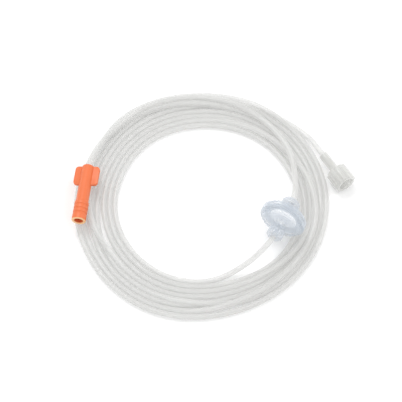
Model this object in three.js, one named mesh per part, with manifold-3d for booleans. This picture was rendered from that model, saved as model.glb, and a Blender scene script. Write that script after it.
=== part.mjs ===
// Gas sampling line: fine clear tubing lying in a loose flat coil, with a luer lock at one end,
// a disc filter in line near the other, and a winged plug-in connector for a monitor at the end.
// Millimetres, +Z up. The origin is the middle of the footprint, on the surface it lies on.

import * as THREE from 'three';
import { mergeVertices } from 'three/addons/utils/BufferGeometryUtils.js';
import Module from 'manifold-3d';

// Clearances
const FACE_GAP = 0.3;             // between two pieces that touch
const TUBE_SOCKET_CLEARANCE = 0.15; // all round the tubing in a socket

// Tubing
const TUBE_OD = 3.0;
const TUBE_SIDES = 8;
const TUBE_STEP = 7.0;            // length of one straight step along a lead

// Coil: the turns lie side by side and cross each other
const COIL_OUTER_R = 68.4;
const COIL_INNER_R = 48.7;
const COIL_HOLE_OFFSET = 3.7;     // the inner turns bunch up on the right-hand side
const COIL_TURNS_ACROSS = 8;
const COIL_PILE = 2.6;            // rise of the middle turns over the outermost ones
const COIL_SEGMENTS = 48;
const COIL_POINTS_PER_TURN = 4;

// Luer lock, measured from the stem's end at the tubing
const LUER_STEM_D = 4.8;
const LUER_STEM_LENGTH = 11.3;
const LUER_COLLAR_D = 11.0;
const LUER_COLLAR_LENGTH = 10.3;
const LUER_COLLAR_WALL = 1.3;
const LUER_COLLAR_FLOOR = 2.0;
const LUER_TAPER_ROOT_D = 4.7;
const LUER_TAPER_TIP_D = 4.0;
const LUER_TAPER_PROUD = 1.2;     // the cone's tip stands out of the collar
const LUER_BORE_D = 2.2;
const LUER_SOCKET_DEPTH = 8.0;
const LUER_RIB_COUNT = 12;
const LUER_RIB_WIDTH = 1.1;
const LUER_RIB_HEIGHT = 0.35;
const LUER_CHAMFER = 0.8;

// Disc filter: two clear half shells round a membrane
const FILTER_D = 26.6;
const FILTER_RIM_THICKNESS = 4.4;
const FILTER_RIM_WIDTH = 1.4;     // the weld ring outside the membrane
const FILTER_DISH_RISE = 1.3;     // from the rim's shoulder up to the neck
const FILTER_WALL = 1.0;
const FILTER_CHAMBER_D = 21.0;
const FILTER_CHAMBER_DEPTH = 0.7;
const FILTER_NECK_D = 6.6;
const FILTER_NECK_LENGTH = 2.7;
const FILTER_LOCK_RING_D = 7.8;
const FILTER_LOCK_RING_RISE = 0.4; // from the neck's foot up to the ring
const FILTER_LOCK_RING_THICKNESS = 0.6;
const FILTER_BORE_D = 2.4;
const MEMBRANE_THICKNESS = 0.5;

// Tubing connectors on the filter's two necks
const CAP_FLANGE_D = 7.8;
const CAP_FLANGE_THICKNESS = 0.5;
const CAP_WAIST_D = 6.4;
const CAP_WAIST_LENGTH = 0.4;
const INLET_CAP_D = 8.4;
const OUTLET_CAP_D = 9.6;
const CAP_LENGTH = 4.9;
const CAP_CHAMFER = 1.0;
const CAP_SOCKET_DEPTH = 4.0;

// Monitor connector, measured from its tail at the tubing
const PLUG_LENGTH = 33.4;
const PLUG_BARREL_D = 6.8;
const PLUG_NOSE_D = 7.7;
const PLUG_NOSE_LENGTH = 11.0;
const PLUG_TAIL_D = 5.2;
const PLUG_TAIL_ROUND = 1.2;
const PLUG_MOUTH_D = 4.7;
const PLUG_MOUTH_DEPTH = 11.5;
const PLUG_MOUTH_CHAMFER = 0.35;
const PLUG_RIM_CHAMFER = 0.3;
const PLUG_BORE_D = 2.2;
const PLUG_SOCKET_DEPTH = 8.0;
const PLUG_GROOVE_COUNT = 3;
const PLUG_GROOVE_PITCH = 2.4;
const PLUG_GROOVE_WIDTH = 1.1;
const PLUG_GROOVE_DEPTH = 0.3;
const PLUG_GROOVE_FIRST = 1.6;    // from the nose's shoulder to the first groove
const WING_SPAN = 13.4;           // over both wings
const WING_LENGTH = 11.0;
const WING_THICKNESS = 1.8;
const WING_CORNER_R = 1.8;
const WING_START = 0.6;           // from the tail's end
const WING_ROLL = THREE.MathUtils.degToRad(12);

// The coil's two edges, whose circles aren't concentric
const OUTER_EDGE = { x: 0, r: COIL_OUTER_R };
const INNER_EDGE = { x: COIL_HOLE_OFFSET, r: COIL_INNER_R };

// Places beside an edge are [degrees round it, distance outside it, height]
const LUER_PLACE = [22.7, 3.14, LUER_COLLAR_D / 2 + LUER_RIB_HEIGHT];
const LUER_AXIS = [0.554, -0.832, 0];
const LUER_LEAD_PLACES = [
  [68.0, 1.8, 1.6],
  [55.0, 1.8, 1.6],
  [44.5, 2.1, 1.8],
  [34.1, 2.5, 3.3],
];
const FILTER_PLACE = [-20.3, -5.1, 15.2];
const FILTER_AXIS = [-0.382, -0.922, 0.06];
const FEED_LEAD_PLACES = [
  [-46.0, -4.8, 13.9],
  [-55.2, -5.4, 9.2],
  [-64.5, -5.8, 5.2],
  [-77.2, -4.9, 2.2],
  [-88.4, -2.3, 1.6],
  [-102.5, -1.8, 1.6],
];
const MONITOR_LEAD_DESCENT = [
  [6.3, -1.4, 11.9],
  [14.2, -0.3, 9.4],
];

// Places on top of the coil are [degrees, fraction of the way across, height above the turns]
const PLUG_PLACE = [163.1, 0.775];
const PLUG_AXIS = [-0.138, -0.990, 0];
const MONITOR_LEAD_PLACES = [
  [21.0, 0.11, 2.6],
  [27.4, 0.21, 0.5],
  [35.6, 0.28, 0.3],
  [49.4, 0.46, 0.3],
  [61.2, 0.61, 0.3],
  [75.9, 0.73, 0.3],
  [90.6, 0.80, 0.3],
  [105.6, 0.83, 0.3],
  [120.5, 0.83, 0.3],
  [135.4, 0.83, 0.4],
  [147.3, 0.81, 1.4],
];

const wasm = await Module();
wasm.setup();

/** A closed solid turned about its own Y axis from [radius, height] points given anticlockwise. */
function turned(points, segments) {
  const profile = points.map(([r, y]) => new THREE.Vector2(r, y));
  profile.push(profile[0].clone());
  return new THREE.LatheGeometry(profile, segments);
}

function toManifold(geometry) {
  const plain = geometry.clone();
  plain.deleteAttribute('normal');
  plain.deleteAttribute('uv');
  const merged = mergeVertices(plain, 1e-4);
  return new wasm.Manifold(new wasm.Mesh({
    numProp: 3,
    vertProperties: new Float32Array(merged.attributes.position.array),
    triVerts: new Uint32Array(merged.index.array),
  }));
}

function toGeometry(manifold) {
  const mesh = manifold.getMesh();
  const geometry = new THREE.BufferGeometry();
  geometry.setAttribute('position', new THREE.BufferAttribute(new Float32Array(mesh.vertProperties), 3));
  geometry.setIndex(new THREE.BufferAttribute(new Uint32Array(mesh.triVerts), 1));
  geometry.computeVertexNormals();
  return geometry;
}

const clearTubing = () => new THREE.MeshStandardMaterial({
  color: 0xe6e5e2, roughness: 0.25, metalness: 0, transparent: true, opacity: 0.6,
});
const milkyPlastic = () => new THREE.MeshStandardMaterial({
  color: 0xe2e1d8, roughness: 0.4, metalness: 0, transparent: true, opacity: 0.8,
});
const clearPlastic = () => new THREE.MeshStandardMaterial({
  color: 0xcfdcea, roughness: 0.12, metalness: 0, transparent: true, opacity: 0.5,
});
const whiteMembrane = () => new THREE.MeshStandardMaterial({
  color: 0xf4f5f4, roughness: 0.8, metalness: 0,
});
const orangePlastic = () => new THREE.MeshStandardMaterial({
  color: 0xf27a45, roughness: 0.45, metalness: 0,
});

function piece(name, geometry, material) {
  const mesh = new THREE.Mesh(geometry, material);
  mesh.name = name;
  return mesh;
}

/** A group at a point, its +Y along the axis and its +X level, then rolled about that axis. */
function seat(at, axis, roll = 0) {
  const y = new THREE.Vector3(...axis).normalize();
  const x = new THREE.Vector3().crossVectors(y, new THREE.Vector3(0, 0, 1)).normalize();
  const z = new THREE.Vector3().crossVectors(x, y);
  const group = new THREE.Group();
  group.position.copy(at);
  group.quaternion.setFromRotationMatrix(new THREE.Matrix4().makeBasis(x, y, z));
  group.rotateY(roll);
  group.updateMatrix();
  return group;
}

/** The point on a seated group's axis at this height, in the coil's frame. */
function onAxis(group, height) {
  return new THREE.Vector3(0, height, 0).applyMatrix4(group.matrix);
}

/** A plain round lead along the points. */
function lead(name, points) {
  const curve = new THREE.CatmullRomCurve3(points, false, 'centripetal');
  const section = new THREE.Shape();
  for (let i = 0; i < TUBE_SIDES; i += 1) {
    const angle = (2 * Math.PI * i) / TUBE_SIDES;
    const x = (TUBE_OD / 2) * Math.cos(angle);
    const y = (TUBE_OD / 2) * Math.sin(angle);
    if (i === 0) section.moveTo(x, y);
    else section.lineTo(x, y);
  }
  section.closePath();
  const steps = Math.ceil(curve.getLength() / TUBE_STEP);
  const geometry = new THREE.ExtrudeGeometry(section, { steps, extrudePath: curve, bevelEnabled: false });
  return piece(name, geometry, clearTubing());
}

/** The turns in the coil's section, from the hole outwards. */
function coilTurns() {
  const tube = TUBE_OD / 2;
  const first = COIL_INNER_R + tube;
  const pitch = (COIL_OUTER_R - tube - first) / (COIL_TURNS_ACROSS - 1);
  const turns = [];
  for (let i = 0; i < COIL_TURNS_ACROSS; i += 1) {
    const across = i / (COIL_TURNS_ACROSS - 1);
    const rise = COIL_PILE * Math.max(0, Math.sin(Math.PI * across)) ** 0.7;
    turns.push({ r: first + i * pitch, z: tube + rise });
  }
  return turns;
}

/** A point beside one of the coil's edges. */
function beside(edge, [degrees, outside, height]) {
  const angle = THREE.MathUtils.degToRad(degrees);
  const r = edge.r + outside;
  return new THREE.Vector3(edge.x + r * Math.cos(angle), r * Math.sin(angle), height);
}

/** The middle of a tube that lies on the coil, or this much above its turns. */
function onCoil([degrees, across, lift]) {
  const r = THREE.MathUtils.lerp(COIL_INNER_R, COIL_OUTER_R, across);
  const reach = TUBE_OD + FACE_GAP;
  const rest = Math.max(...coilTurns()
    .filter((turn) => Math.abs(turn.r - r) < reach)
    .map((turn) => turn.z + Math.sqrt(reach ** 2 - (turn.r - r) ** 2)));
  return beside({ x: COIL_HOLE_OFFSET * (1 - across), r }, [degrees, 0, rest + lift]);
}

// Coil: a ring whose top shows the turns lying next to each other
function coil() {
  const tube = TUBE_OD / 2;
  const first = COIL_INNER_R + tube;
  const last = COIL_OUTER_R - tube;
  const turns = coilTurns();
  const top = (r) => Math.max(...turns
    .filter((turn) => Math.abs(turn.r - r) < tube)
    .map((turn) => turn.z + Math.sqrt(tube ** 2 - (turn.r - r) ** 2)), 2 * tube * 0.8);
  const diagonal = tube * Math.SQRT1_2;
  const profile = [
    [last, 0],
    [last + diagonal, tube - diagonal],
    [last + tube, tube],
    [last + diagonal, tube + diagonal],
  ];
  const samples = (COIL_TURNS_ACROSS - 1) * COIL_POINTS_PER_TURN;
  for (let i = samples; i >= 0; i -= 1) {
    const r = first + ((last - first) * i) / samples;
    profile.push([r, top(r)]);
  }
  profile.push(
    [first - diagonal, tube + diagonal],
    [first - tube, tube],
    [first - diagonal, tube - diagonal],
    [first, 0],
  );
  const ring = turned(profile, COIL_SEGMENTS);
  ring.rotateX(Math.PI / 2);
  const position = ring.attributes.position;
  for (let i = 0; i < position.count; i += 1) {
    const r = Math.hypot(position.getX(i), position.getY(i));
    const inward = (COIL_OUTER_R - r) / (COIL_OUTER_R - COIL_INNER_R);
    position.setX(i, position.getX(i) + COIL_HOLE_OFFSET * inward);
  }
  return piece('tubing_coil', ring, clearTubing());
}

// Luer lock: tube stem, ribbed locking collar and the inner cone, moulded as one
function luerLock() {
  const socket = TUBE_OD / 2 + TUBE_SOCKET_CLEARANCE;
  const collarBack = LUER_STEM_LENGTH;
  const collarFront = LUER_STEM_LENGTH + LUER_COLLAR_LENGTH;
  const collar = LUER_COLLAR_D / 2;
  const inside = collar - LUER_COLLAR_WALL;
  const floor = collarBack + LUER_COLLAR_FLOOR;
  const body = toManifold(turned([
    [socket, 0],
    [LUER_STEM_D / 2, 0],
    [LUER_STEM_D / 2, collarBack],
    [collar - LUER_CHAMFER, collarBack],
    [collar, collarBack + LUER_CHAMFER],
    [collar, collarFront],
    [inside, collarFront],
    [inside, floor],
    [LUER_TAPER_ROOT_D / 2, floor],
    [LUER_TAPER_TIP_D / 2, collarFront + LUER_TAPER_PROUD],
    [LUER_BORE_D / 2, collarFront + LUER_TAPER_PROUD],
    [LUER_BORE_D / 2, LUER_SOCKET_DEPTH],
    [socket, LUER_SOCKET_DEPTH],
  ], 24));
  const ribLength = LUER_COLLAR_LENGTH - 2 * LUER_CHAMFER;
  let whole = body;
  for (let i = 0; i < LUER_RIB_COUNT; i += 1) {
    const rib = new THREE.BoxGeometry(LUER_RIB_HEIGHT + LUER_COLLAR_WALL / 2, ribLength, LUER_RIB_WIDTH);
    const ribMiddle = collar + (LUER_RIB_HEIGHT - LUER_COLLAR_WALL / 2) / 2;
    rib.translate(ribMiddle, collarBack + LUER_COLLAR_LENGTH / 2, 0);
    rib.rotateY((2 * Math.PI * (i + 0.5)) / LUER_RIB_COUNT);
    whole = whole.add(toManifold(rib));
  }
  return piece('luer_lock', toGeometry(whole), milkyPlastic());
}

// Filter: one half shell, from the weld line out to the neck's end
const FILTER_NECK_START = FILTER_RIM_THICKNESS / 2 + FILTER_DISH_RISE;
const FILTER_NECK_END = FILTER_NECK_START + FILTER_NECK_LENGTH;

function filterHalf(name) {
  const weld = FACE_GAP / 2;
  const pinch = MEMBRANE_THICKNESS / 2 + FACE_GAP;
  const outer = FILTER_D / 2;
  const chamber = FILTER_CHAMBER_D / 2;
  const shoulder = FILTER_RIM_THICKNESS / 2;
  const roof = FILTER_NECK_START - FILTER_WALL;
  const ring = FILTER_NECK_START + FILTER_LOCK_RING_RISE;
  const half = turned([
    [outer - FILTER_RIM_WIDTH, weld],
    [outer, weld],
    [outer, shoulder * 0.8],
    [outer - FILTER_RIM_WIDTH, shoulder],
    [chamber, shoulder + FILTER_DISH_RISE * 0.2],
    [FILTER_NECK_D, FILTER_NECK_START - FILTER_DISH_RISE * 0.25],
    [FILTER_NECK_D / 2, FILTER_NECK_START],
    [FILTER_NECK_D / 2, ring],
    [FILTER_LOCK_RING_D / 2, ring],
    [FILTER_LOCK_RING_D / 2, ring + FILTER_LOCK_RING_THICKNESS],
    [FILTER_NECK_D / 2, ring + FILTER_LOCK_RING_THICKNESS],
    [FILTER_NECK_D / 2, FILTER_NECK_END],
    [FILTER_BORE_D / 2, FILTER_NECK_END],
    [FILTER_BORE_D / 2, roof],
    [FILTER_NECK_D / 2, roof - FILTER_WALL / 2],
    [chamber, pinch + FILTER_CHAMBER_DEPTH],
    [chamber, pinch],
    [outer - FILTER_RIM_WIDTH, pinch],
  ], 32);
  return piece(name, half, clearPlastic());
}

function membrane() {
  const r = FILTER_D / 2 - FILTER_RIM_WIDTH - FACE_GAP;
  return piece('filter_membrane', new THREE.CylinderGeometry(r, r, MEMBRANE_THICKNESS, 32), whiteMembrane());
}

// Tubing connector on a neck of the filter
const CAP_START = FILTER_NECK_END + FACE_GAP;
const CAP_END = CAP_START + CAP_FLANGE_THICKNESS + CAP_WAIST_LENGTH + CAP_LENGTH;

function filterCap(name, diameter) {
  const socket = TUBE_OD / 2 + TUBE_SOCKET_CLEARANCE;
  const waist = CAP_START + CAP_FLANGE_THICKNESS;
  const body = waist + CAP_WAIST_LENGTH;
  const cap = turned([
    [FILTER_BORE_D / 2, CAP_START],
    [CAP_FLANGE_D / 2, CAP_START],
    [CAP_FLANGE_D / 2, waist],
    [CAP_WAIST_D / 2, waist],
    [diameter / 2, body],
    [diameter / 2, CAP_END - CAP_CHAMFER],
    [diameter / 2 - CAP_CHAMFER, CAP_END],
    [socket, CAP_END],
    [socket, CAP_END - CAP_SOCKET_DEPTH],
    [FILTER_BORE_D / 2, CAP_END - CAP_SOCKET_DEPTH],
  ], 20);
  return piece(name, cap, clearPlastic());
}

// Monitor connector: barrel, grooved nose with an open mouth, and two wings at the tail
function monitorConnector() {
  const noseStart = PLUG_LENGTH - PLUG_NOSE_LENGTH;
  const barrel = PLUG_BARREL_D / 2;
  const nose = PLUG_NOSE_D / 2;
  const outline = [
    [0, 0],
    [PLUG_TAIL_D / 2, 0],
    [barrel, PLUG_TAIL_ROUND],
    [barrel, noseStart - (nose - barrel)],
    [nose, noseStart],
  ];
  for (let i = 0; i < PLUG_GROOVE_COUNT; i += 1) {
    const from = noseStart + PLUG_GROOVE_FIRST + i * PLUG_GROOVE_PITCH;
    outline.push(
      [nose, from],
      [nose - PLUG_GROOVE_DEPTH, from + PLUG_GROOVE_WIDTH / 2],
      [nose, from + PLUG_GROOVE_WIDTH],
    );
  }
  outline.push(
    [nose, PLUG_LENGTH - PLUG_RIM_CHAMFER],
    [nose - PLUG_RIM_CHAMFER, PLUG_LENGTH],
    [0, PLUG_LENGTH],
  );
  const profile = outline.map(([r, y]) => new THREE.Vector2(r, y));
  const outside = toManifold(new THREE.LatheGeometry(profile, 24));

  const half = WING_SPAN / 2;
  const end = WING_START + WING_LENGTH;
  const plate = new THREE.Shape();
  plate.moveTo(-half + WING_CORNER_R, WING_START);
  plate.lineTo(half - WING_CORNER_R, WING_START);
  plate.quadraticCurveTo(half, WING_START, half, WING_START + WING_CORNER_R);
  plate.lineTo(half, end - WING_CORNER_R);
  plate.quadraticCurveTo(half, end, half - WING_CORNER_R, end);
  plate.lineTo(-half + WING_CORNER_R, end);
  plate.quadraticCurveTo(-half, end, -half, end - WING_CORNER_R);
  plate.lineTo(-half, WING_START + WING_CORNER_R);
  plate.quadraticCurveTo(-half, WING_START, -half + WING_CORNER_R, WING_START);
  const wingForm = { depth: WING_THICKNESS, bevelEnabled: false, curveSegments: 4 };
  const wings = new THREE.ExtrudeGeometry(plate, wingForm);
  wings.translate(0, 0, -WING_THICKNESS / 2);

  const mouth = PLUG_MOUTH_D / 2;
  const socket = TUBE_OD / 2 + TUBE_SOCKET_CLEARANCE;
  const hollow = [
    [0, -1],
    [socket, -1],
    [socket, PLUG_SOCKET_DEPTH],
    [PLUG_BORE_D / 2, PLUG_SOCKET_DEPTH],
    [PLUG_BORE_D / 2, PLUG_LENGTH - PLUG_MOUTH_DEPTH],
    [mouth, PLUG_LENGTH - PLUG_MOUTH_DEPTH],
    [mouth, PLUG_LENGTH - PLUG_MOUTH_CHAMFER],
    [mouth + 2 * PLUG_MOUTH_CHAMFER, PLUG_LENGTH + PLUG_MOUTH_CHAMFER],
    [0, PLUG_LENGTH + PLUG_MOUTH_CHAMFER],
  ].map(([r, y]) => new THREE.Vector2(r, y));
  const bore = toManifold(new THREE.LatheGeometry(hollow, 24));
  const whole = outside.add(toManifold(wings)).subtract(bore);
  return piece('monitor_connector', toGeometry(whole), orangePlastic());
}

// The fittings, each on its own axis
const luerSeat = seat(beside(OUTER_EDGE, LUER_PLACE), LUER_AXIS);
luerSeat.add(luerLock());

const filterSeat = seat(beside(INNER_EDGE, FILTER_PLACE), FILTER_AXIS);
const inlet = new THREE.Group();
inlet.add(filterHalf('filter_inlet_half'), filterCap('filter_inlet_connector', INLET_CAP_D));
const outlet = new THREE.Group();
outlet.rotation.x = Math.PI;
outlet.add(filterHalf('filter_outlet_half'), filterCap('filter_outlet_connector', OUTLET_CAP_D));
filterSeat.add(inlet, outlet, membrane());

const plugTail = onCoil([...PLUG_PLACE, 0]);
plugTail.z = TUBE_OD + COIL_PILE + FACE_GAP + PLUG_BARREL_D / 2;
const plugSeat = seat(plugTail, PLUG_AXIS, WING_ROLL);
plugSeat.add(monitorConnector());

// The leads, each from the face of one piece to the next
const luerLead = lead('tubing_luer_lead', [
  ...LUER_LEAD_PLACES.map((place) => beside(OUTER_EDGE, place)),
  onAxis(luerSeat, -TUBE_OD),
  onAxis(luerSeat, -FACE_GAP),
]);
const feedLead = lead('tubing_filter_lead', [
  onAxis(filterSeat, CAP_END + FACE_GAP),
  onAxis(filterSeat, CAP_END + TUBE_OD),
  ...FEED_LEAD_PLACES.map((place) => beside(INNER_EDGE, place)),
]);
const monitorLead = lead('tubing_monitor_lead', [
  onAxis(filterSeat, -CAP_END - FACE_GAP),
  onAxis(filterSeat, -CAP_END - TUBE_OD),
  ...MONITOR_LEAD_DESCENT.map((place) => beside(INNER_EDGE, place)),
  ...MONITOR_LEAD_PLACES.map(onCoil),
  onAxis(plugSeat, -TUBE_OD),
  onAxis(plugSeat, -FACE_GAP),
]);

const line = new THREE.Group();
line.add(coil(), luerLead, feedLead, monitorLead, luerSeat, filterSeat, plugSeat);

const model = new THREE.Group();
model.add(line);
model.updateMatrixWorld(true);
const box = new THREE.Box3().setFromObject(model, true);
const middle = box.getCenter(new THREE.Vector3());
line.position.set(-middle.x, -middle.y, -box.min.z);
model.updateMatrixWorld(true);

export default model;
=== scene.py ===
"""Gas sampling line: clear tubing in a loose coil, luer lock, disc filter and monitor connector."""

import logging
import math
from collections.abc import Callable, Iterable
from dataclasses import dataclass, field
from enum import Enum

import bmesh
import bpy
import numpy as np
from mathutils import Euler, Matrix, Vector


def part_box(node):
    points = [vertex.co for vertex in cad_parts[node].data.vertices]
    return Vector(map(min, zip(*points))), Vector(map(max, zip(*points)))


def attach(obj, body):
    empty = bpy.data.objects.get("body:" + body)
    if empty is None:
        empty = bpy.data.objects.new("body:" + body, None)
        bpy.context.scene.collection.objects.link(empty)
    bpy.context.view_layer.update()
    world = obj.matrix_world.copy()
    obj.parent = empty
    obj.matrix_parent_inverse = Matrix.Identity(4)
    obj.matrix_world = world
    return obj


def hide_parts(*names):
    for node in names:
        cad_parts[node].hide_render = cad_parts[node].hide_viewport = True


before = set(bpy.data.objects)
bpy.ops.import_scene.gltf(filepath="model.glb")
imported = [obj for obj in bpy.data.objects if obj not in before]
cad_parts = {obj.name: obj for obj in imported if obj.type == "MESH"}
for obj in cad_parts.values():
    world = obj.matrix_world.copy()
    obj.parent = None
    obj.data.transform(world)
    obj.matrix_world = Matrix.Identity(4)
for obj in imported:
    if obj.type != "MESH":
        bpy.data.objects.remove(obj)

LOG = logging.getLogger("sampling_line")
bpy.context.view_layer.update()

# one millimetre in metres; sizes below are in millimetres
MM = 0.001
# outside diameter of the tubing
TUBE_OD = 3.0
# radius of the sockets that hold the tubing
SOCKET_R = TUBE_OD / 2 + 0.15
# between two pieces that touch
FACE_GAP = 0.3
COIL_LOW, COIL_HIGH = (Vector(corner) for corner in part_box("tubing_coil"))
# the coil's centre on the floor, in metres; places are given round it
COIL_CENTRE = Vector(((COIL_LOW.x + COIL_HIGH.x) / 2, (COIL_LOW.y + COIL_HIGH.y) / 2, 0.0))

Point = tuple[float, float, float]
Chooser = Callable[[Vector, Vector], bool]


class Slot(Enum):
    """The material slots."""

    TUBING = "clear_tubing"
    MILKY = "milky_plastic"
    CLEAR = "clear_plastic"
    MEMBRANE = "white_membrane"
    ORANGE = "orange_plastic"


class Side(Enum):
    """The two sides of the filter, as a sign along its axis."""

    INLET = 1
    OUTLET = -1

    @property
    def word(self) -> str:
        """The side's name in the names of pieces."""
        return self.name.lower()


# ---- finishes

SPECKLE_DETAIL = 3.0
ROUGHNESS_SPREAD = 0.05
BUMP_DEPTH = 0.2 * MM
COAT_ROUGHNESS = 0.08
GLOW_TINT = (1.0, 1.0, 0.985, 1.0)


@dataclass(frozen=True)
class Speckle:
    """A node group of fine moulding unevenness, as a mask and a height."""

    name: str = "moulded_speckle"
    fineness: float = 5.0

    def group(self) -> bpy.types.NodeTree:
        """Return the group, and build it the first time.

        Returns:
            The node tree, with Scale and Detail in, Mask and Height out.
        """
        tree = bpy.data.node_groups.get(self.name)
        if tree is not None:
            return tree
        tree = bpy.data.node_groups.new(self.name, "ShaderNodeTree")
        for socket, way, kind in (
            ("Vector", "INPUT", "Vector"), ("Scale", "INPUT", "Float"), ("Detail", "INPUT", "Float"),
            ("Mask", "OUTPUT", "Float"), ("Height", "OUTPUT", "Float"),
        ):
            tree.interface.new_socket(socket, in_out=way, socket_type=f"NodeSocket{kind}")
        nodes, links = tree.nodes, tree.links
        given = nodes.new("NodeGroupInput")
        out = nodes.new("NodeGroupOutput")
        broad = nodes.new("ShaderNodeTexNoise")
        fine = nodes.new("ShaderNodeTexNoise")
        times = nodes.new("ShaderNodeMath")
        times.operation = "MULTIPLY"
        times.inputs[1].default_value = self.fineness
        links.new(given.outputs["Vector"], broad.inputs["Vector"])
        links.new(given.outputs["Vector"], fine.inputs["Vector"])
        links.new(given.outputs["Scale"], broad.inputs["Scale"])
        links.new(given.outputs["Scale"], times.inputs[0])
        links.new(times.outputs["Value"], fine.inputs["Scale"])
        links.new(given.outputs["Detail"], broad.inputs["Detail"])
        links.new(broad.outputs["Fac"], out.inputs["Mask"])
        links.new(fine.outputs["Fac"], out.inputs["Height"])
        return tree


def ramp(nodes: bpy.types.Nodes, low: float, high: float, to_low: float, to_high: float) -> bpy.types.Node:
    """Add a Map Range node.

    Args:
        nodes: The tree's nodes.
        low: Value that becomes to_low.
        high: Value that becomes to_high.
        to_low: Result at low.
        to_high: Result at high.

    Returns:
        The clamped Map Range node.
    """
    node = nodes.new("ShaderNodeMapRange")
    for name, value in (("From Min", low), ("From Max", high), ("To Min", to_low), ("To Max", to_high)):
        node.inputs[name].default_value = value
    return node


@dataclass(frozen=True)
class Finish:
    """A moulded or drawn plastic surface.

    Its colour runs from light to dark with the speckle. A clear one covers alpha_face of what lies
    behind it where it faces the eye, and alpha_edge along its edges. The glow stands for the light
    that such plastic scatters.
    """

    name: str
    light: tuple[float, float, float]
    dark: tuple[float, float, float]
    roughness: float
    speckle_scale: float = 300.0
    bump: float = 0.02
    alpha_face: float = 1.0
    alpha_edge: float = 1.0
    edge_from: float = 0.0
    edge_to: float = 1.0
    specular: float = 0.5
    coat: float = 0.0
    glow: float = 0.0

    def material(self) -> bpy.types.Material:
        """Return the material, and build it the first time.

        Returns:
            A node material on Object coordinates.
        """
        found = bpy.data.materials.get(self.name)
        if found is not None:
            return found
        made = bpy.data.materials.new(self.name)
        made.use_nodes = True
        nodes, links = made.node_tree.nodes, made.node_tree.links
        shader = nodes["Principled BSDF"]
        place = nodes.new("ShaderNodeTexCoord")
        speckle = nodes.new("ShaderNodeGroup")
        speckle.node_tree = Speckle().group()
        speckle.inputs["Scale"].default_value = self.speckle_scale
        speckle.inputs["Detail"].default_value = SPECKLE_DETAIL
        links.new(place.outputs["Object"], speckle.inputs["Vector"])
        tint = nodes.new("ShaderNodeMix")
        tint.data_type = "RGBA"
        tint.inputs["A"].default_value = (*self.light, 1.0)
        tint.inputs["B"].default_value = (*self.dark, 1.0)
        links.new(speckle.outputs["Mask"], tint.inputs["Factor"])
        links.new(tint.outputs["Result"], shader.inputs["Base Color"])
        rough = ramp(nodes, 0.3, 0.7, self.roughness - ROUGHNESS_SPREAD, self.roughness + ROUGHNESS_SPREAD)
        links.new(speckle.outputs["Mask"], rough.inputs["Value"])
        links.new(rough.outputs["Result"], shader.inputs["Roughness"])
        bump = nodes.new("ShaderNodeBump")
        bump.inputs["Strength"].default_value = self.bump
        bump.inputs["Distance"].default_value = BUMP_DEPTH
        links.new(speckle.outputs["Height"], bump.inputs["Height"])
        links.new(bump.outputs["Normal"], shader.inputs["Normal"])
        shader.inputs["Specular IOR Level"].default_value = self.specular
        shader.inputs["Coat Weight"].default_value = self.coat
        shader.inputs["Coat Roughness"].default_value = COAT_ROUGHNESS
        shader.inputs["Emission Color"].default_value = GLOW_TINT
        shader.inputs["Emission Strength"].default_value = self.glow
        if self.alpha_face < 1.0 or self.alpha_edge < 1.0:
            edge = nodes.new("ShaderNodeLayerWeight")
            cover = ramp(nodes, self.edge_from, self.edge_to, self.alpha_face, self.alpha_edge)
            links.new(edge.outputs["Facing"], cover.inputs["Value"])
            links.new(cover.outputs["Result"], shader.inputs["Alpha"])
        return made


CLEAR_TUBING = Finish(
    "clear_vinyl_tubing", (0.50, 0.50, 0.49), (0.46, 0.46, 0.452), 0.16,
    speckle_scale=40.0, bump=0.0, alpha_face=0.47, alpha_edge=0.78, edge_from=0.3, edge_to=0.95,
    glow=0.24,
)
TUBING_BORE = Finish(
    "tubing_bore", (0.85, 0.85, 0.84), (0.82, 0.82, 0.81), 0.3,
    speckle_scale=40.0, bump=0.0, alpha_face=0.15, alpha_edge=0.12, glow=0.16,
)
MILKY_PLASTIC = Finish(
    "milky_luer_plastic", (0.56, 0.56, 0.54), (0.44, 0.44, 0.42), 0.2,
    speckle_scale=400.0, alpha_face=0.42, alpha_edge=0.88, coat=0.4, glow=0.18,
)
CLEAR_PLASTIC = Finish(
    "clear_filter_plastic", (0.56, 0.61, 0.67), (0.48, 0.54, 0.62), 0.1,
    speckle_scale=120.0, bump=0.0, alpha_face=0.12, alpha_edge=0.88, edge_from=0.1,
    specular=0.8, coat=0.5, glow=0.1,
)
CAP_PLASTIC = Finish(
    "clear_connector_plastic", (0.56, 0.6, 0.65), (0.48, 0.53, 0.6), 0.1,
    speckle_scale=120.0, bump=0.0, alpha_face=0.3, alpha_edge=0.86, edge_from=0.1,
    specular=0.8, coat=0.5, glow=0.1,
)
# Painted highlight: the white sheet shows only in a middle disc, and its glow adds painted light. The pale
# blue-grey ring round it is partly the rim that the shells clamp and partly painted round that highlight.
MEMBRANE = Finish(
    "membrane_sheet", (0.97, 0.97, 0.97), (0.94, 0.94, 0.95), 0.8,
    speckle_scale=900.0, bump=0.1, glow=0.22,
)
MEMBRANE_RIM_ROUND_HIGHLIGHT = Finish(
    "membrane_rim_round_painted_highlight", (0.78, 0.82, 0.86), (0.72, 0.76, 0.82), 0.5,
    speckle_scale=900.0, bump=0.05, alpha_face=0.35, alpha_edge=0.6,
)
ORANGE = Finish(
    "orange_connector_plastic", (0.77, 0.175, 0.055), (0.71, 0.15, 0.045), 0.4,
    speckle_scale=250.0, bump=0.05,
)
PALE_ORANGE = Finish(
    "orange_mouth_rim", (0.85, 0.52, 0.26), (0.80, 0.46, 0.21), 0.3, speckle_scale=250.0, bump=0.02,
)


# ---- modelling helpers


def deselect() -> None:
    """Leave nothing selected."""
    if bpy.context.object and bpy.context.object.mode != "OBJECT":
        bpy.ops.object.mode_set(mode="OBJECT")
    bpy.ops.object.select_all(action="DESELECT")


def only(piece: bpy.types.Object) -> None:
    """Select one piece and make it the active one.

    Args:
        piece: The piece.
    """
    deselect()
    piece.select_set(True)
    bpy.context.view_layer.objects.active = piece


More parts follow.
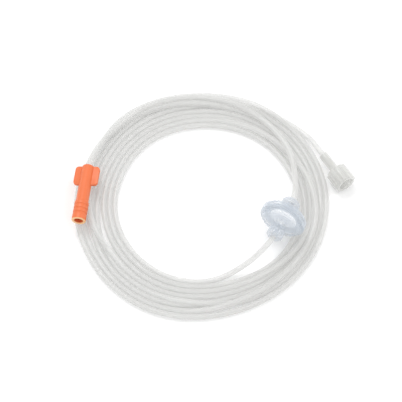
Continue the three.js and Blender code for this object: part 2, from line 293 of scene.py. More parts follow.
def turned(name: str, profile: list[tuple[float, float]], segments: int) -> bpy.types.Object:
    """Turn a closed profile about Z, one extruded ring at a time.

    Args:
        name: The piece's name.
        profile: (radius, height) points in millimetres, round the section.
        segments: Sides of the turned shape.

    Returns:
        The piece, at the origin and along Z, in metres.
    """
    deselect()
    start = profile[0]
    bpy.ops.mesh.primitive_circle_add(
        vertices=segments, radius=start[0] * MM, location=(0, 0, start[1] * MM)
    )
    piece = bpy.context.object
    piece.name = name
    bpy.ops.object.transform_apply(location=True, rotation=True, scale=True)
    bpy.ops.object.mode_set(mode="EDIT")
    bpy.ops.mesh.select_mode(type="VERT")
    bpy.ops.mesh.select_all(action="SELECT")
    for (r0, z0), (r1, z1) in zip(profile, profile[1:] + profile[:1]):
        bpy.ops.mesh.extrude_region_move(TRANSFORM_OT_translate={"value": (0, 0, (z1 - z0) * MM)})
        if abs(r1 - r0) > 1e-6:
            bpy.ops.transform.resize(value=(r1 / r0, r1 / r0, 1), center_override=(0, 0, z1 * MM))
    bpy.ops.mesh.select_all(action="SELECT")
    bpy.ops.mesh.remove_doubles(threshold=1e-6)
    bpy.ops.mesh.normals_make_consistent(inside=False)
    bpy.ops.object.mode_set(mode="OBJECT")
    return piece


def round_edges(piece: bpy.types.Object, width: float, segments: int = 2, angle: float = 30.0) -> None:
    """Round a piece's sharp edges and smooth its shading.

    Args:
        piece: The piece.
        width: Width of the rounding in millimetres.
        segments: Steps in the rounding.
        angle: Edges sharper than this many degrees are rounded.
    """
    only(piece)
    bevel = piece.modifiers.new("rounding", "BEVEL")
    bevel.width = width * MM
    bevel.segments = segments
    bevel.limit_method = "ANGLE"
    bevel.angle_limit = math.radians(angle)
    bpy.ops.object.modifier_apply(modifier=bevel.name)
    bpy.ops.object.shade_smooth_by_angle(angle=math.radians(40))


def ribs_round(count: int, share: float, inside: float, low: float, high: float) -> Chooser:
    """Return a test for the faces that lie on ribs round a turned piece.

    Args:
        count: Ribs round the piece.
        share: Part of each step that the rib takes up.
        inside: Radius that the ribs' faces lie outside of, in millimetres.
        low: Height that they start at.
        high: Height that they end at.

    Returns:
        The test. It takes a face's centre and normal.
    """
    step = 2 * math.pi / count

    def chosen(centre: Vector, normal: Vector) -> bool:
        """Say whether a face is upright and lies on a rib.

        Args:
            centre: The face's centre, in millimetres.
            normal: Its normal.

        Returns:
            True on a rib.
        """
        turn = (math.atan2(centre.y, centre.x) / step) % 1.0
        upright = abs(normal.z) < 0.3
        outside = math.hypot(centre.x, centre.y) > inside
        return upright and outside and low < centre.z < high and turn < share

    return chosen


def raise_faces(piece: bpy.types.Object, chosen: Chooser, height: float) -> None:
    """Extrude the chosen faces along their normals.

    Args:
        piece: The piece, at the origin along Z.
        chosen: Takes a face's centre and normal, and says whether it is raised.
        height: Rise in millimetres.
    """
    only(piece)
    bpy.ops.object.mode_set(mode="EDIT")
    bpy.ops.mesh.select_mode(type="FACE")
    bpy.ops.mesh.select_all(action="DESELECT")
    shape = bmesh.from_edit_mesh(piece.data)
    for face in shape.faces:
        face.select = bool(chosen(face.calc_center_median() / MM, face.normal))
    shape.select_flush_mode()
    bmesh.update_edit_mesh(piece.data)
    bpy.ops.mesh.extrude_region_shrink_fatten(
        TRANSFORM_OT_shrink_fatten={"value": height * MM, "use_even_offset": True}
    )
    bpy.ops.mesh.select_mode(type="VERT")
    bpy.ops.object.mode_set(mode="OBJECT")


def place(piece: bpy.types.Object, matrix: Matrix) -> None:
    """Put a piece in its place and apply that, so that its object stays at the origin.

    Args:
        piece: The piece.
        matrix: Its place.
    """
    only(piece)
    piece.matrix_world = matrix @ piece.matrix_world
    bpy.ops.object.transform_apply(location=True, rotation=True, scale=True)


def dress(piece: bpy.types.Object, finish: Finish) -> None:
    """Give a piece its finish and its body.

    Args:
        piece: The piece.
        finish: Its first finish.
    """
    piece.data.materials.clear()
    piece.data.materials.append(finish.material())
    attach(piece, "root")


def dress_some(piece: bpy.types.Object, finish: Finish, flags: Iterable[bool]) -> None:
    """Give some faces of a dressed piece a second finish.

    Args:
        piece: The piece.
        finish: The second finish.
        flags: For each face, whether it takes the second finish.
    """
    piece.data.materials.append(finish.material())
    for face, flagged in zip(piece.data.polygons, flags):
        face.material_index = int(flagged)


@dataclass(frozen=True)
class Seat:
    """A fitting's place: a point round the coil's centre, an axis, and a roll about it in radians."""

    at: Point
    axis: Point
    roll: float = 0.0

    def basis(self) -> Matrix:
        """Return the matrix from a piece turned about Z to its place.

        Returns:
            A matrix in metres. The piece's Z goes along the axis, its X is level before the roll.
        """
        along = Vector(self.axis).normalized()
        level = along.cross(Vector((0, 0, 1))).normalized()
        up = level.cross(along)
        turn = Matrix((level, -up, along)).transposed().to_4x4()
        spin = Matrix.Rotation(self.roll, 4, "Z")
        centre = Vector(self.at) * MM + COIL_CENTRE
        return Matrix.Translation(centre) @ turn @ spin

    def point(self, height: float) -> np.ndarray:
        """Return a point on the axis.

        Args:
            height: Millimetres along the axis.

        Returns:
            The point in millimetres round the coil's centre.
        """
        along = Vector(self.axis).normalized()
        return np.array(Vector(self.at) + along * height)



# ---- the fittings


@dataclass
class LuerLock:
    """The milky luer lock: stem, ribbed collar and inner cone."""

    stem_d: float = 4.8
    stem_length: float = 11.3
    collar_d: float = 11.0
    collar_length: float = 10.3
    wall: float = 1.3
    floor: float = 2.0
    root_d: float = 4.7
    tip_d: float = 4.0
    proud: float = 1.2
    bore_d: float = 2.2
    socket_depth: float = 8.0
    chamfer: float = 0.8
    thread_start: float = 1.3
    thread_width: float = 0.7
    thread_height: float = 0.35
    ribs: int = 12
    rib_height: float = 0.35
    seat: Seat = Seat((66.0, 27.6, 5.85), (0.554, -0.832, 0.0))

    def build(self) -> bpy.types.Object:
        """Model the lock.

        Returns:
            The dressed piece.
        """
        stem, collar = self.stem_d / 2, self.collar_d / 2
        back = self.stem_length
        front = back + self.collar_length
        inside = collar - self.wall
        floor = back + self.floor
        crest = inside - self.thread_height
        crest_top = front - self.thread_start - 0.3
        crest_foot = crest_top - self.thread_width
        tip, end = self.tip_d / 2, front + self.proud
        profile = [
            (SOCKET_R, 0.0), (stem - 0.1, 0.0), (stem, 0.4), (stem, back - 1.2), (stem + 0.5, back),
            (collar - self.chamfer, back), (collar, back + self.chamfer), (collar, front - 1.0),
            (collar, front), (inside, front), (inside, crest_top + 0.3), (crest, crest_top),
            (crest, crest_foot), (inside, crest_foot - 0.3), (inside, floor), (self.root_d / 2, floor),
            (tip, end - 0.2), (tip - 0.2, end), (self.bore_d / 2, end),
            (self.bore_d / 2, self.socket_depth), (SOCKET_R, self.socket_depth),
        ]
        piece = turned("luer_lock_body", profile, self.ribs * 4)
        ribs = ribs_round(self.ribs, 0.5, collar - 0.5, back + self.chamfer + 0.1, front)
        raise_faces(piece, ribs, self.rib_height)
        round_edges(piece, 0.18)
        place(piece, self.seat.basis())
        dress(piece, MILKY_PLASTIC)
        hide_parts("luer_lock")
        return piece


@dataclass
class DiscFilter:
    """The clear disc filter, its membrane and the two tubing connectors on its necks."""

    diameter: float = 25.2
    rim: float = 4.0
    rim_width: float = 1.4
    drum_d: float = 21.0
    drum_top: float = 4.1
    grips: int = 24
    grip_height: float = 0.45
    wall: float = 1.0
    chamber_d: float = 19.0
    neck_d: float = 6.6
    neck_end: float = 6.9
    lock_ring_d: float = 7.8
    lock_ring_rise: float = 0.9
    lock_ring: float = 0.6
    bore_d: float = 2.4
    membrane: float = 0.5
    rim_round_highlight: float = 3.4
    flange_d: float = 7.8
    flange: float = 0.5
    waist_d: float = 6.4
    waist: float = 0.4
    inlet_cap_d: float = 8.4
    outlet_cap_d: float = 9.6
    inlet_cap_length: float = 4.9
    outlet_cap_length: float = 3.7
    cap_socket: float = 3.0
    cap_facets: int = 8
    cap_facet_height: float = 0.2
    seat: Seat = Seat((43.45, -16.0, 15.25), (-0.425, -0.903, 0.06))

    @property
    def cap_start(self) -> float:
        """Height of a connector's face on the neck."""
        return self.neck_end + FACE_GAP

    def cap_end(self, side: Side) -> float:
        """Return how far from the membrane one side's tubing end lies.

        Args:
            side: The side.

        Returns:
            The distance in millimetres.
        """
        length = self.inlet_cap_length if side is Side.INLET else self.outlet_cap_length
        return self.cap_start + self.flange + self.waist + length

    @property
    def ends(self) -> tuple[float, float]:
        """Heights of the inlet's and the outlet's tubing end on the axis."""
        return Side.INLET.value * self.cap_end(Side.INLET), Side.OUTLET.value * self.cap_end(Side.OUTLET)

    def turn_to(self, side: Side) -> Matrix:
        """Return the place of one side's pieces.

        Args:
            side: The side.

        Returns:
            The matrix that puts a piece turned about Z there.
        """
        flip = Matrix.Identity(4) if side is Side.INLET else Matrix.Rotation(math.pi, 4, "X")
        return self.seat.basis() @ flip

    def half(self, side: Side) -> bpy.types.Object:
        """Model one half shell.

        Args:
            side: The side of the membrane that it is on.

        Returns:
            The dressed piece.
        """
        outer, seam, weld = self.diameter / 2, FACE_GAP / 2, self.diameter / 2 - self.rim_width
        shoulder, top = self.rim / 2, self.drum_top
        drum, neck, bore = self.drum_d / 2, self.neck_d / 2, self.bore_d / 2
        ring, ring_r = top + self.lock_ring_rise, self.lock_ring_d / 2
        ring_end = ring + self.lock_ring
        roof, chamber = top - self.wall, self.chamber_d / 2
        pinch = self.membrane / 2 + FACE_GAP
        profile = [
            (weld, seam), (outer, seam), (outer, shoulder - 0.4), (outer - 0.4, shoulder),
            (drum + 0.5, shoulder), (drum + 0.1, shoulder + 0.4), (drum, top - 0.6), (drum - 0.6, top),
            (drum - 2.0, top), (drum - 2.3, top - 0.3), (neck + 1.6, top - 0.1), (neck + 0.5, top + 0.1),
            (neck, top + 0.5), (neck, ring), (ring_r, ring + 0.05), (ring_r, ring_end),
            (neck, ring_end + 0.05), (neck, self.neck_end), (bore, self.neck_end),
            (bore, roof), (neck, roof - 0.2), (chamber, roof - 0.6), (chamber, pinch), (weld, pinch),
        ]
        piece = turned(f"filter_{side.word}_shell", profile, self.grips * 4)
        raise_faces(piece, ribs_round(self.grips, 0.5, drum - 0.35, shoulder + 0.45, top), self.grip_height)
        round_edges(piece, 0.15)
        place(piece, self.turn_to(side))
        dress(piece, CLEAR_PLASTIC)
        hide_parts(f"filter_{side.word}_half")
        return piece

    def cap(self, side: Side) -> bpy.types.Object:
        """Model the tubing connector of one side.

        Args:
            side: The side of the filter that it is on.

        Returns:
            The dressed piece.
        """
        wide = (self.inlet_cap_d if side is Side.INLET else self.outlet_cap_d) / 2
        flange, neck, bore = self.flange_d / 2, self.waist_d / 2, self.bore_d / 2
        start, end = self.cap_start, self.cap_end(side)
        waist = start + self.flange
        body = waist + self.waist
        stop = end - self.cap_socket
        profile = [
            (bore, start), (flange, start), (flange, waist), (neck, waist), (neck + 0.2, body - 0.3),
            (wide, body + 0.2), (wide, end - 1.2), (wide - 1.0, end), (SOCKET_R, end), (SOCKET_R, stop),
            (bore, stop),
        ]
        piece = turned(f"filter_{side.word}_cap", profile, self.cap_facets * 6)
        raise_faces(piece, ribs_round(self.cap_facets, 0.66, wide - 0.3, start, end), self.cap_facet_height)
        round_edges(piece, 0.18)
        place(piece, self.turn_to(side))
        dress(piece, CAP_PLASTIC)
        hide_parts(f"filter_{side.word}_connector")
        return piece

    def sheet(self) -> bpy.types.Object:
        """Model the membrane: a white middle disc, which is a painted highlight, in a pale blue-grey ring
        that is partly the rim the shells pinch and partly painted round the highlight.

        Returns:
            The dressed piece.
        """
        deselect()
        r = self.diameter / 2 - self.rim_width - FACE_GAP
        bpy.ops.mesh.primitive_cylinder_add(vertices=64, radius=r * MM, depth=self.membrane * MM)
        piece = bpy.context.object
        piece.name = "filter_membrane_sheet"
        bpy.ops.object.mode_set(mode="EDIT")
        bpy.ops.mesh.select_mode(type="FACE")
        bpy.ops.mesh.select_all(action="DESELECT")
        shape = bmesh.from_edit_mesh(piece.data)
        for face in shape.faces:
            face.select = abs(face.normal.z) > 0.9
        bmesh.update_edit_mesh(piece.data)
        bpy.ops.mesh.inset(thickness=self.rim_round_highlight * MM, use_individual=True)
        bpy.ops.object.mode_set(mode="OBJECT")
        round_edges(piece, 0.08, 1)
        # the white middle disc is a painted highlight; the ring round it is partly the clamped rim and
        # partly painted
        highlight_r = r - self.rim_round_highlight
        rims = [math.hypot(*face.center[:2]) / MM > highlight_r * 0.5 for face in piece.data.polygons]
        place(piece, self.seat.basis())
        dress(piece, MEMBRANE)
        dress_some(piece, MEMBRANE_RIM_ROUND_HIGHLIGHT, rims)
        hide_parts("filter_membrane")
        return piece

    def build(self) -> list[bpy.types.Object]:
        """Model the filter.

        Returns:
            The dressed pieces.
        """
        pieces = [self.sheet()]
        for side in Side:
            pieces += [self.half(side), self.cap(side)]
        return pieces


@dataclass
class MonitorConnector:
    """The orange connector: tail, wings, barrel and grooved nose with an open mouth."""

    length: float = 33.4
    barrel_d: float = 6.8
    nose_d: float = 7.7
    nose_length: float = 11.0
    tail_d: float = 5.2
    mouth_d: float = 4.7
    mouth_depth: float = 11.5
    bore_d: float = 2.2
    socket_depth: float = 8.0
    span: float = 13.4
    wing_length: float = 11.0
    wing_thickness: float = 1.8
    wing_start: float = 0.6
    wing_corner: float = 1.8
    groove_first: float = 1.6
    groove_pitch: float = 2.4
    groove_width: float = 1.1
    groove_depth: float = 0.3
    grooves: int = 3
    seat: Seat = Seat((-60.37, 18.6, 9.3), (-0.138, -0.990, 0.0), math.radians(12))

    def body(self) -> bpy.types.Object:
        """Turn the barrel with its grooves, its mouth and its bore.

        Returns:
            The barrel, at the origin and along Z.
        """
        tail, barrel, nose = self.tail_d / 2, self.barrel_d / 2, self.nose_d / 2
        mouth, bore = self.mouth_d / 2, self.bore_d / 2
        end = self.length
        shoulder = end - self.nose_length
        groove, width = nose - self.groove_depth, self.groove_width
        profile = [
            (SOCKET_R, 0.0), (tail, 0.0), (tail + 0.5, 0.35), (barrel, 1.2), (barrel, shoulder - 0.45),
            (nose, shoulder),
        ]
        for i in range(self.grooves):
            at = shoulder + self.groove_first + i * self.groove_pitch
            floor, floor_end = at + width * 0.3, at + width * 0.7
            profile += [(nose, at), (groove, floor), (groove, floor_end), (nose, at + width)]
        profile += [
            (nose, end - 0.3), (nose - 0.3, end), (mouth + 0.35, end), (mouth, end - 0.35),
            (mouth, end - self.mouth_depth), (bore, end - self.mouth_depth), (bore, self.socket_depth),
            (SOCKET_R, self.socket_depth),
        ]
        return turned("orange_connector_body", profile, 64)

    def wing(self, sign: int) -> bpy.types.Object:
        """Model one wing.

        Args:
            sign: 1 or -1, the side that it is on.

        Returns:
            The plate, from inside the barrel's wall out to the tip.
        """
        deselect()
        inner = (SOCKET_R + self.barrel_d / 2) / 2
        tip = self.span / 2
        middle = self.wing_start + self.wing_length / 2
        bpy.ops.mesh.primitive_cube_add(
            size=1, location=(sign * (inner + tip) / 2 * MM, 0, middle * MM),
            scale=((tip - inner) * MM, self.wing_thickness * MM, self.wing_length * MM),
        )
        piece = bpy.context.object
        bpy.ops.object.transform_apply(location=True, rotation=True, scale=True)
        bpy.ops.object.mode_set(mode="EDIT")
        bpy.ops.mesh.select_mode(type="EDGE")
        bpy.ops.mesh.select_all(action="DESELECT")
        shape = bmesh.from_edit_mesh(piece.data)
        for edge in shape.edges:
            a, b = (v.co / MM for v in edge.verts)
            at_tip = sign * a.x > tip - 0.1 and sign * b.x > tip - 0.1
            edge.select = at_tip and abs(a.y - b.y) > 0.5 and abs(a.z - b.z) < 0.1
        shape.select_flush_mode()
        bmesh.update_edit_mesh(piece.data)
        bpy.ops.mesh.bevel(offset=self.wing_corner * MM, segments=6, affect="EDGES")
        bpy.ops.mesh.select_mode(type="VERT")
        bpy.ops.object.mode_set(mode="OBJECT")
        return piece

    def build(self) -> bpy.types.Object:
        """Model the connector.

        Returns:
            The dressed piece.
        """
        piece = self.body()
        for sign in (1, -1):
            wing = self.wing(sign)
            only(piece)
            join = piece.modifiers.new("wing", "BOOLEAN")
            join.operation = "UNION"
            join.solver = "EXACT"
            join.object = wing
            bpy.ops.object.modifier_apply(modifier=join.name)
            bpy.data.objects.remove(wing)
        round_edges(piece, 0.2, 2, 28.0)
        rim_foot, mouth = (self.length - 0.32) * MM, self.mouth_d / 2 * MM
        faces = piece.data.polygons
        rims = [face.center.z > rim_foot and math.hypot(*face.center[:2]) > mouth for face in faces]
        place(piece, self.seat.basis())
        dress(piece, ORANGE)
        dress_some(piece, PALE_ORANGE, rims)
        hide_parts("monitor_connector")
        return piece


# ---- the tubing

# direction from the coil's centre in degrees, and the band's inner and outer radius there
BAND = (
    (0, 52.3, 68.4), (20, 50.7, 68.6), (40, 49.8, 69.4), (60, 49.0, 69.8), (75, 48.0, 69.2),
    (90, 47.2, 68.6), (105, 46.8, 69.4), (120, 46.4, 70.2), (140, 45.7, 68.6), (155, 45.2, 66.6),
    (170, 45.0, 68.4), (190, 45.0, 68.6), (210, 45.0, 68.6), (230, 45.5, 69.6), (245, 46.0, 70.2),
    (260, 46.0, 69.4), (280, 47.4, 67.6), (300, 49.3, 67.3), (320, 51.9, 67.3), (340, 53.0, 67.5),
    (360, 52.3, 68.4),
)
# where each turn makes for across the band, 0 at its inside and 1 at its outside
LANES = (1.0, 0.34, 0.80, 0.16, 0.62, 0.92, 0.46, 0.02)
# degrees into each turn where it crosses over to the next one's lane
CROSSINGS = (78, 300, 190, 350, 115, 250, 30)


@dataclass
class CoilLayout:
    """Works out where each turn of the coil lies, and lets the turns settle on each other.

    The turns start at begin and finish at end, in degrees along the tubing. The monitor lead lies
    over them, at the angles and radii of over. In each round the turns sink, straighten, make for
    their aims, and push apart where they overlap.
    """

    tube: float = TUBE_OD
    step: float = 3.0
    begin: float = 46.0
    end: float = 7 * 360 + 268.0
    cross_width: float = 60.0
    places: int = 10
    rise_per_turn: float = 2.2
    lead_turn: float = 8.6
    rounds: int = 500
    slow_rounds: int = 40
    sink: float = 0.10
    slow_sink: float = 0.02
    stiffness_up: float = 0.5
    stiffness_across: float = 0.3
    pull_to_aim: float = 0.08
    push_apart: float = 0.45
    push_across: float = 0.6
    least_rise: float = 0.4
    last_softening: float = 6
    under_filter: tuple[float, float] = (326, 352)
    over: tuple[tuple[float, float], ...] = (
        (30, 56.0), (34, 56.7), (48, 59.0), (60, 61.5), (75, 63.5), (90, 65.0), (110, 65.0), (133, 64.8),
    )

    def edges(self, degrees: np.ndarray) -> tuple[np.ndarray, np.ndarray]:
        """Return the band's edges.

        Args:
            degrees: Angles along the tubing.

        Returns:
            The inner and the outer radius at each angle.
        """
        angle, inner, outer = np.array(BAND, float).T
        at = degrees % 360.0
        return np.interp(at, angle, inner), np.interp(at, angle, outer)

    def wish(self, degrees: np.ndarray) -> np.ndarray:
        """Return the lane that the tubing makes for.

        Args:
            degrees: Angles along the tubing.

        Returns:
            The lane at each angle, 0 at the band's inside and 1 at its outside.
        """
        lane = LANES[0] - 0.004 * degrees / 360.0
        for k, into in enumerate(CROSSINGS):
            share = np.clip((degrees - 360.0 * k - into) / self.cross_width + 0.5, 0, 1)
            lane += (LANES[k + 1] - LANES[k]) * share * share * (3 - 2 * share)
        return lane

    def soften(self, values: np.ndarray, degrees: float) -> np.ndarray:
        """Smooth a run of values along the tubing.

        Args:
            values: One value for each point.
            degrees: Reach of the smoothing.

        Returns:
            As many values.
        """
        width = max(1, int(round(degrees / self.step)))
        span = np.arange(-3 * width, 3 * width + 1)
        weight = np.exp(-0.5 * (span / width) ** 2)
        padded = np.pad(values, 3 * width, mode="reflect", reflect_type="odd")
        return np.convolve(padded, weight / weight.sum(), mode="valid")

    def shelves(self, angles: np.ndarray) -> np.ndarray:
        """List the points that lie in each direction from the centre.

        Args:
            angles: Angle of each point.

        Returns:
            A row of point numbers for each direction, filled up with -1.
        """
        per_turn = int(round(360 / self.step))
        table = -np.ones((per_turn, self.places), int)
        filled = np.zeros(per_turn, int)
        for i, s in enumerate(np.round(angles / self.step).astype(int) % per_turn):
            table[s, filled[s]] = i
            filled[s] += 1
        return table

    def aim(self, degrees: np.ndarray) -> np.ndarray:
        """Return the radius that each point makes for, so that the turns share the band evenly.

        Args:
            degrees: Angles along the tubing.

        Returns:
            The radius at each angle.
        """
        lane = self.wish(degrees)
        rank = np.zeros(len(degrees))
        for row in self.shelves(degrees):
            here = row[row >= 0]
            order = here[np.argsort(lane[here], kind="stable")]
            rank[order] = np.arange(len(here)) / max(1, len(here) - 1)
        inner, outer = self.edges(degrees)
        share = np.clip(self.soften(rank, 11), 0, 1)
        drift = 0.25 * np.sin(np.radians(degrees * 0.61) + np.floor(degrees / 360.0) * 1.7)
        return inner + self.tube / 2 + (outer - inner - self.tube) * share + drift

    def neighbours(self, angles: np.ndarray) -> list[tuple[np.ndarray, np.ndarray]]:
        """Pair the points that lie in the same direction.

        Args:
            angles: Angle of each point.

        Returns:
            Pairs of arrays of point numbers.
        """
        table = self.shelves(angles)
        pairs = []
        for i in range(self.places):
            for j in range(i + 1, self.places):
                both = (table[:, i] >= 0) & (table[:, j] >= 0)
                pairs.append((table[both, i], table[both, j]))
        return pairs

    def straighten(self, r: np.ndarray, z: np.ndarray) -> None:
        """Pull each point of a run towards the middle of its neighbours along the tubing.

        Args:
            r: The run's radii, changed in place.
            z: The run's heights, changed in place.
        """
        for values, pull in ((z, self.stiffness_up), (r, self.stiffness_across)):
            for _ in range(2):
                values[1:-1] += pull * (0.5 * (values[:-2] + values[2:]) - values[1:-1])

    def part(self, r: np.ndarray, z: np.ndarray, pairs: list[tuple[np.ndarray, np.ndarray]]) -> None:
        """Push paired points apart where the tubing overlaps itself.

        Args:
            r: Radii of all the points, changed in place.
            z: Heights of all the points, changed in place.
            pairs: Which points to pair.
        """
        least = self.least_rise
        for p, q in pairs:
            dr, dz = r[q] - r[p], z[q] - z[p]
            push = np.maximum(0.0, self.tube - np.hypot(dr, dz)) * self.push_apart
            rise = np.where(np.abs(dz) < least, np.where(dz < 0, -least, least), dz)
            size = np.hypot(dr, rise)
            for which, sign in ((q, 1.0), (p, -1.0)):
                np.add.at(r, which, sign * push * dr / size * self.push_across)
                np.add.at(z, which, sign * push * rise / size)

    def settle(self) -> tuple[np.ndarray, np.ndarray]:
        """Let the turns settle.

        Returns:
            The coil's points from the luer end on, and the monitor lead's points over the coil,
            both in millimetres round the coil's centre.
        """
        degrees = np.arange(self.begin, self.end + 1e-6, self.step)
        lead = np.arange(self.over[0][0], self.over[-1][0] + 1e-6, self.step)
        over_at, over_r = np.array(self.over, float).T
        aim = np.concatenate([self.aim(degrees), self.soften(np.interp(lead, over_at, over_r), 6)])
        angle = np.concatenate([degrees, lead])
        half = self.tube / 2
        turn = np.concatenate([(degrees - degrees[0]) / 360.0, np.full(len(lead), self.lead_turn)])
        r, z = aim.copy(), half + self.rise_per_turn * turn
        at = angle % 360.0
        below = (at > self.under_filter[0]) & (at < self.under_filter[1])
        runs = [slice(0, len(degrees)), slice(len(degrees), len(angle))]
        pairs = self.neighbours(angle)
        for count in range(self.rounds):
            z -= self.sink if count < self.rounds - self.slow_rounds else self.slow_sink
            for run in runs:
                self.straighten(r[run], z[run])
            r += self.pull_to_aim * (aim - r)
            self.part(r, z, pairs)
            # the filter's slanting disc leaves less room towards the inside of the band
            ceiling = 1.55 + np.maximum(0.0, r[below] - 54.6) * 0.95
            z[below] = np.minimum(z[below], ceiling)
            z = np.maximum(z, half + 0.03)
        for run in runs:
            r[run] = self.soften(r[run], self.last_softening)
            z[run] = np.maximum(self.soften(z[run], self.last_softening), half + 0.02)
        turns = np.radians(angle)
        points = np.stack([r * np.cos(turns), r * np.sin(turns), z], axis=1)
        return points[runs[0]], points[runs[1]]


def curve_through(points: np.ndarray, spacing: float) -> np.ndarray:
    """Return points at an even spacing on a smooth curve through the given ones.

    Args:
        points: The points to pass.
        spacing: Distance between the new points, in the same unit.

    Returns:
        The new points, ends included.
    """
    padded = np.vstack([2 * points[0] - points[1], points, 2 * points[-1] - points[-2]])
    fine = []
    for a, b, c, d in zip(padded, padded[1:], padded[2:], padded[3:]):
        ta, tb, tc = (max(1e-9, np.linalg.norm(q - p)) ** 0.5 for p, q in ((a, b), (b, c), (c, d)))
        m1 = (b - a) / ta - (c - a) / (ta + tb) + (c - b) / tb
        m2 = (c - b) / tb - (d - b) / (tb + tc) + (d - c) / tc
        for t in np.linspace(0, 1, 12, endpoint=False):
            h = (2 * t**3 - 3 * t**2 + 1, t**3 - 2 * t**2 + t, -2 * t**3 + 3 * t**2, t**3 - t**2)
            fine.append(h[0] * b + h[1] * tb * m1 + h[2] * c + h[3] * tb * m2)
    fine.append(points[-1])
    fine = np.array(fine)
    along = np.concatenate([[0], np.cumsum(np.linalg.norm(np.diff(fine, axis=0), axis=1))])
    count = max(2, int(round(along[-1] / spacing)) + 1)
    at = np.linspace(0, along[-1], count)
    return np.stack([np.interp(at, along, fine[:, k]) for k in range(3)], axis=1)


def slacken(points: np.ndarray, steps: float) -> np.ndarray:
    """Let a centre line take up its kinks, as springy tubing does, with both ends held.

    Args:
        points: Evenly spaced points.
        steps: Reach of the smoothing, in points.

    Returns:
        As many points, on a gentler curve.
    """
    reach = int(math.ceil(3 * steps))
    weight = np.exp(-0.5 * (np.arange(-reach, reach + 1) / steps) ** 2)
    padded = np.pad(points, ((reach, reach), (0, 0)), mode="reflect", reflect_type="odd")
    weight /= weight.sum()
    return np.stack([np.convolve(padded[:, k], weight, mode="valid") for k in range(3)], axis=1)


@dataclass
class Tubing:
    """Clear tubing: a mesh tube with its bore, along a path."""

    od: float = TUBE_OD
    bore: float = 1.5
    sides: int = 18
    spacing: float = 1.6

    def sweep(self, name: str, path: np.ndarray) -> bpy.types.Object:
        """Sweep the ring-shaped section along a path.

        Args:
            name: The piece's name.
            path: The centre line in metres.

        Returns:
            The piece. Its outside and its bore are closed by a ring at each end.
        """
        tangent = np.gradient(path, axis=0)
        tangent /= np.linalg.norm(tangent, axis=1)[:, None]
        side = np.cross(tangent[0], (0.0, 0.0, 1.0))
        side /= np.linalg.norm(side)
        turns = np.arange(self.sides) * 2 * math.pi / self.sides
        spokes = []
        for along in tangent:
            side = side - along * np.dot(side, along)
            side /= np.linalg.norm(side)
            up = np.cross(along, side)
            spokes.append(np.cos(turns)[:, None] * side + np.sin(turns)[:, None] * up)
        n, m = self.sides, len(path)
        verts: list[Point] = []
        faces: list[tuple[int, ...]] = []
        for radius in (self.od / 2 * MM, self.bore / 2 * MM):
            for point, spoke in zip(path, spokes):
                verts += [tuple(v) for v in point + radius * spoke]
        for offset, flip in ((0, 1), (n * m, -1)):
            for i in range(m - 1):
                for j in range(n):
                    a, b = offset + i * n + j, offset + i * n + (j + 1) % n
                    faces.append((a, b, b + n, a + n)[::flip])
        for i, flip in ((0, -1), (m - 1, 1)):
            for j in range(n):
                a, b = i * n + j, i * n + (j + 1) % n
                faces.append((a, b, n * m + b, n * m + a)[::flip])
        wall = (m - 1) * n
        inner = [wall <= k < 2 * wall for k in range(len(faces))]
        mesh = bpy.data.meshes.new(name)
        mesh.from_pydata(verts, [], faces)
        mesh.update()
        piece = bpy.data.objects.new(name, mesh)
        bpy.context.scene.collection.objects.link(piece)
        only(piece)
        bpy.ops.object.mode_set(mode="EDIT")
        bpy.ops.mesh.select_all(action="SELECT")
        bpy.ops.mesh.normals_make_consistent(inside=False)
        bpy.ops.object.mode_set(mode="OBJECT")
        bpy.ops.object.shade_smooth()
        dress(piece, CLEAR_TUBING)
        dress_some(piece, TUBING_BORE, inner)
        return piece


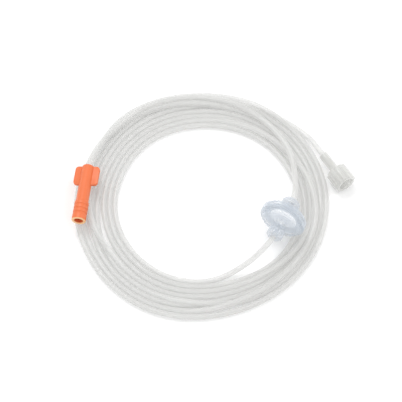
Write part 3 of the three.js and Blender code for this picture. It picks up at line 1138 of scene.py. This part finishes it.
@dataclass
class SamplingTubes:
    """The two lengths of tubing, laid between the fittings.

    The points of the leads are round the coil's centre. The slack is the length that both centre
    lines are smoothed over.
    """

    luer: LuerLock
    disc: DiscFilter
    plug: MonitorConnector
    tubing: Tubing = field(default_factory=Tubing)
    layout: CoilLayout = field(default_factory=CoilLayout)
    slack: float = 4.0
    luer_lead: tuple[Point, ...] = ((58.7, 39.8, 3.3),)
    feed_lead: tuple[Point, ...] = (
        (4.6, -46.3, 1.55), (10.2, -44.7, 1.75), (14.8, -42.7, 2.5), (20.9, -40.0, 5.0),
        (26.3, -37.7, 8.9), (29.2, -36.1, 11.4), (32.0, -34.1, 13.7), (34.5, -32.0, 15.3),
        (36.2, -30.2, 15.9),
    )
    over_start: tuple[Point, ...] = (
        (50.3, -0.8, 14.2), (50.5, 2.4, 13.6), (50.45, 5.4, 12.6), (50.4, 8.8, 11.2),
        (50.4, 12.4, 9.6), (50.3, 16.2, 8.3), (50.0, 20.0, 7.4), (49.4, 23.9, 6.9),
    )
    over_end: tuple[Point, ...] = (
        (-47.6, 43.6, 4.8), (-51.2, 38.9, 5.8), (-54.6, 33.6, 7.2), (-57.4, 27.8, 8.5),
    )

    def paths(self) -> tuple[np.ndarray, np.ndarray]:
        """Lay out both centre lines.

        Returns:
            The main length from the filter to the luer lock, and the length from the filter to the
            monitor connector, in millimetres round the coil's centre.
        """
        coil, over = self.layout.settle()
        luer, disc, plug = self.luer.seat, self.disc.seat, self.plug.seat
        (front, back), held = self.disc.ends, self.disc.cap_socket - FACE_GAP
        main = np.vstack([
            [luer.point(self.luer.socket_depth - 0.5), luer.point(2.0), luer.point(-TUBE_OD)],
            np.array(self.luer_lead), coil[::2], np.array(self.feed_lead),
            [disc.point(front), disc.point(front - 1.5), disc.point(front - held)],
        ])[::-1]
        lead = np.vstack([
            [disc.point(back + held), disc.point(back + 1.5), disc.point(back)],
            np.array(self.over_start), over[::2], np.array(self.over_end),
            [plug.point(-TUBE_OD), plug.point(2.0), plug.point(self.plug.socket_depth - 0.5)],
        ])
        spacing = self.tubing.spacing
        reach = self.slack / spacing
        return slacken(curve_through(main, spacing), reach), slacken(curve_through(lead, spacing), reach)

    def build(self, luer_piece: bpy.types.Object, plug_piece: bpy.types.Object) -> list[bpy.types.Object]:
        """Sweep both lengths.

        Args:
            luer_piece: The luer lock, on the main length's far end; not used.
            plug_piece: The monitor connector, on the short length's far end; not used.

        Returns:
            The two dressed pieces.
        """
        made = []
        main_nodes = ("tubing_coil", "tubing_luer_lead", "tubing_filter_lead")
        front, back = self.disc.ends
        ends = (
            ("sampling_tube_main", luer_piece, "coiled", main_nodes, front),
            ("sampling_tube_monitor", plug_piece, "loose", ("tubing_monitor_lead",), back),
        )
        for path, (name, fitting, lay, nodes, exit_at) in zip(self.paths(), ends):
            metres = path * MM + np.array(COIL_CENTRE)
            piece = self.tubing.sweep(name, metres)
            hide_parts(*nodes)
            out = self.disc.seat.point(exit_at) * MM + np.array(COIL_CENTRE)
            made.append(piece)
        return made


# ---- the surroundings


@dataclass
class Studio:
    """The camera, the floor and the lights, in metres and watts."""

    elevation: float = 62.0
    distance: float = 1.2
    lens: float = 200.5
    target: Point = (0.0, 0.0009, 0.003)
    floor_size: float = 6.0
    floor_drop: float = 0.0001
    floor_grey: float = 0.93
    sky: float = 1.03
    softboxes: tuple[tuple[str, Point, float, float], ...] = (
        ("top_softbox", (-0.25, 0.45, 0.9), 0.35, 2.6), ("side_softbox", (0.8, 0.2, 0.7), 0.25, 1.2),
    )

    def camera(self) -> None:
        """Set the camera at the photo's angle."""
        data = bpy.data.cameras.new("camera")
        data.lens = self.lens
        data.sensor_width = 36.0
        data.clip_start = 0.01
        view = bpy.data.objects.new("camera", data)
        bpy.context.scene.collection.objects.link(view)
        up = math.radians(self.elevation)
        aim = COIL_CENTRE + Vector(self.target)
        view.location = aim + Vector((0, -math.cos(up), math.sin(up))) * self.distance
        view.rotation_euler = Euler((math.pi / 2 - up, 0, 0))
        bpy.context.scene.camera = view

    def floor(self) -> None:
        """Lay the pale floor."""
        deselect()
        bpy.ops.mesh.primitive_plane_add(size=self.floor_size, location=(0, 0, -self.floor_drop))
        piece = bpy.context.object
        piece.name = "pale_floor"
        made = bpy.data.materials.new("pale_floor_paint")
        made.use_nodes = True
        shader = made.node_tree.nodes["Principled BSDF"]
        shader.inputs["Base Color"].default_value = (*[self.floor_grey] * 3, 1)
        shader.inputs["Roughness"].default_value = 0.9
        shader.inputs["Specular IOR Level"].default_value = 0.1
        piece.data.materials.append(made)

    def lights(self) -> None:
        """Set the soft lights."""
        world = bpy.data.worlds.new("soft_room")
        bpy.context.scene.world = world
        world.use_nodes = True
        background = world.node_tree.nodes["Background"]
        background.inputs["Color"].default_value = (1, 1, 1, 1)
        background.inputs["Strength"].default_value = self.sky
        for name, at, size, power in self.softboxes:
            data = bpy.data.lights.new(name, "AREA")
            data.size = size
            data.energy = power
            lamp = bpy.data.objects.new(name, data)
            bpy.context.scene.collection.objects.link(lamp)
            lamp.location = at
            lamp.rotation_euler = (Vector(at) * -1).to_track_quat("-Z", "Y").to_euler()
        bpy.context.scene.view_settings.view_transform = "Standard"

    def build(self) -> None:
        """Set all of it."""
        self.camera()
        self.floor()
        self.lights()


def main() -> None:
    """Build the line and its surroundings, piece by piece."""
    logging.basicConfig(level=logging.INFO, format="%(name)s: %(message)s")
    Studio().build()
    luer, disc, plug = LuerLock(), DiscFilter(), MonitorConnector()
    ends = [luer.build(), plug.build()]
    tubes = SamplingTubes(luer, disc, plug).build(*ends)
    for piece in ends + tubes + disc.build():
        LOG.info("made %s", piece.name)
    deselect()
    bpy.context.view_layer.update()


if __name__ == "__main__":
    main()
